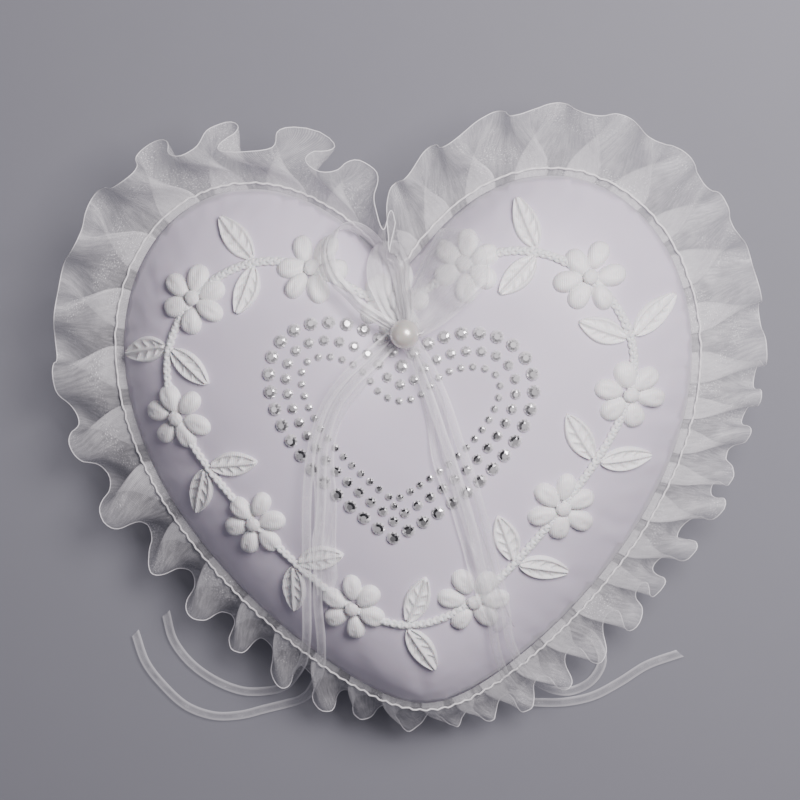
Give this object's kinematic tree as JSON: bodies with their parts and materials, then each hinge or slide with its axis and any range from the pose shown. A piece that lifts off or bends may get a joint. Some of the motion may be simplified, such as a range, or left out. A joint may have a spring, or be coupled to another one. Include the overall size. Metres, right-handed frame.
{
  "type": "ring bearer pillow",
  "caption": "Heart-shaped satin ring pillow with a gathered sheer ruffle, padded flower vine, crystal hearts, pearl bow and narrow ribbon ties.",
  "frame": {"origin": "middle line of the heart at the centre of its star-shaped plan, on the flat face of the back that it lies on", "axes": "+Z out of the decorated face, +Y towards the two lobes, +X to the right of someone facing the decorated side"},
  "size_m": [0.2478, 0.2227, 0.0711],
  "materials": {
    "satin": "white bridal satin, soft sheen",
    "organza": "sheer white organza with a fine shimmer",
    "applique_satin": "padded ribbed satin",
    "ribbon": "narrow woven ribbon, satin",
    "thread": "polyester sewing thread",
    "fibre": "polyester stuffing",
    "crystal": "faceted, foil backed",
    "pearl": "pearlescent coat"
  },
  "bodies": {
    "root": {"fibre_fill": "fibre", "front_panel": "satin", "back_panel": "satin", "closing_stitches": "thread", "ruffle": "organza", "gathering_thread": "thread", "vine_stem": "applique_satin", "crystals_outer": "crystal", "crystals_middle": "crystal", "crystals_inner": "crystal", "bow_loop_left": "organza", "bow_loop_left_small": "organza", "bow_loop_right": "organza", "bow_knot": "organza", "bow_tail_left": "organza", "bow_tail_right": "organza", "pearl": "pearl", "pearl_thread": "thread", "tie_left_outer": "ribbon", "tie_left_inner": "ribbon", "tie_right_outer": "ribbon", "tie_right_inner": "ribbon", "flower_01": "applique_satin", "flower_02": "applique_satin", "flower_03": "applique_satin", "flower_04": "applique_satin", "flower_05": "applique_satin", "flower_06": "applique_satin", "flower_07": "applique_satin", "flower_08": "applique_satin", "flower_09": "applique_satin", "flower_10": "applique_satin", "flower_11": "applique_satin", "leaves_01": "applique_satin", "leaves_02": "applique_satin", "leaves_03": "applique_satin", "leaves_04": "applique_satin", "leaves_05": "applique_satin", "leaves_06": "applique_satin", "leaves_07": "applique_satin", "leaves_08": "applique_satin", "leaves_09": "applique_satin"}
  },
  "joints": []
}
